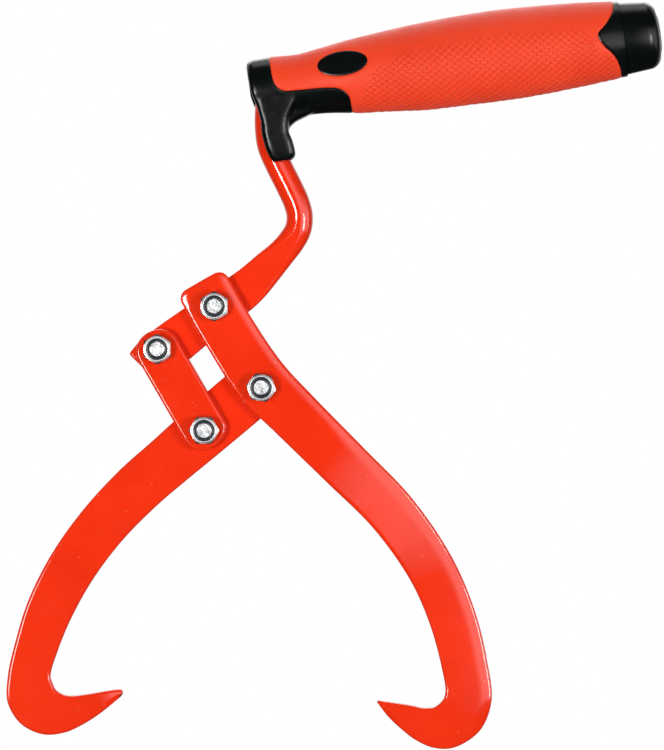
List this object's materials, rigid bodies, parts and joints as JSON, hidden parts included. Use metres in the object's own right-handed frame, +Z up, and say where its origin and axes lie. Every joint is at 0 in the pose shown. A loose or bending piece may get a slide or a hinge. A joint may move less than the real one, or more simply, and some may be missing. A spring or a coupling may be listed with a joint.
{
  "type": "log lifting tongs",
  "caption": "Hand-held lifting tongs: a soft grip on a bent rod carries hooked claw arms on a pivoted linkage that spreads and closes the jaws round a log.",
  "frame": {"origin": "the middle of the hand grip, where the tongs are held, on the grip's axis", "axes": "+Z up with the jaws hanging below the grip, +X along the grip towards its rear cap, +Y from the nuts on the front towards the bolt heads on the back"},
  "size_m": [0.249, 0.0308, 0.2841],
  "materials": {
    "red_paint": "glossy stoved paint",
    "soft_cover": "satin soft grip with a fine diamond pattern",
    "hard_plastic": "satin black moulding",
    "zinc_steel": "bright zinc plate",
    "nylon": "dull dark nylon"
  },
  "bodies": {
    "handle": {"grip_core": "hard_plastic", "grip_cover": "soft_cover", "end_cap": "hard_plastic", "handle_rod": "red_paint", "bolt_main": "zinc_steel", "nut_main": "zinc_steel", "nylon_ring_main": "nylon", "bolt_link": "zinc_steel", "nut_link": "zinc_steel", "nylon_ring_link": "nylon"},
    "right_arm": {"arm_right": "red_paint", "bolt_jaw": "zinc_steel", "nut_jaw": "zinc_steel", "nylon_ring_jaw": "nylon"},
    "links": {"link_front": "red_paint", "link_rear": "red_paint", "bolt_foot": "zinc_steel", "nut_foot": "zinc_steel", "nylon_ring_foot": "nylon"},
    "left_arm": {"arm_left": "red_paint"}
  },
  "joints": [
    {"name": "jaw_opening", "type": "hinge", "parent": "handle", "child": "right_arm", "pos_m": [-0.1008, 0, -0.09395], "axis": [0, -1, 0], "range_deg": [-38, 52]},
    {"name": "link_swing", "type": "hinge", "parent": "handle", "child": "links", "pos_m": [-0.1224, 0, -0.11015], "axis": [0, -1, 0], "range_deg": [-38, 52]},
    {"name": "left_arm_swing", "type": "hinge", "parent": "right_arm", "child": "left_arm", "pos_m": [-0.08305, 0, -0.12469], "axis": [0, -1, 0], "range_deg": [-52, 38]}
  ],
  "couplings": [
    {"joint": "link_swing", "follows": "jaw_opening", "ratio": 1},
    {"joint": "left_arm_swing", "follows": "jaw_opening", "ratio": -1}
  ]
}
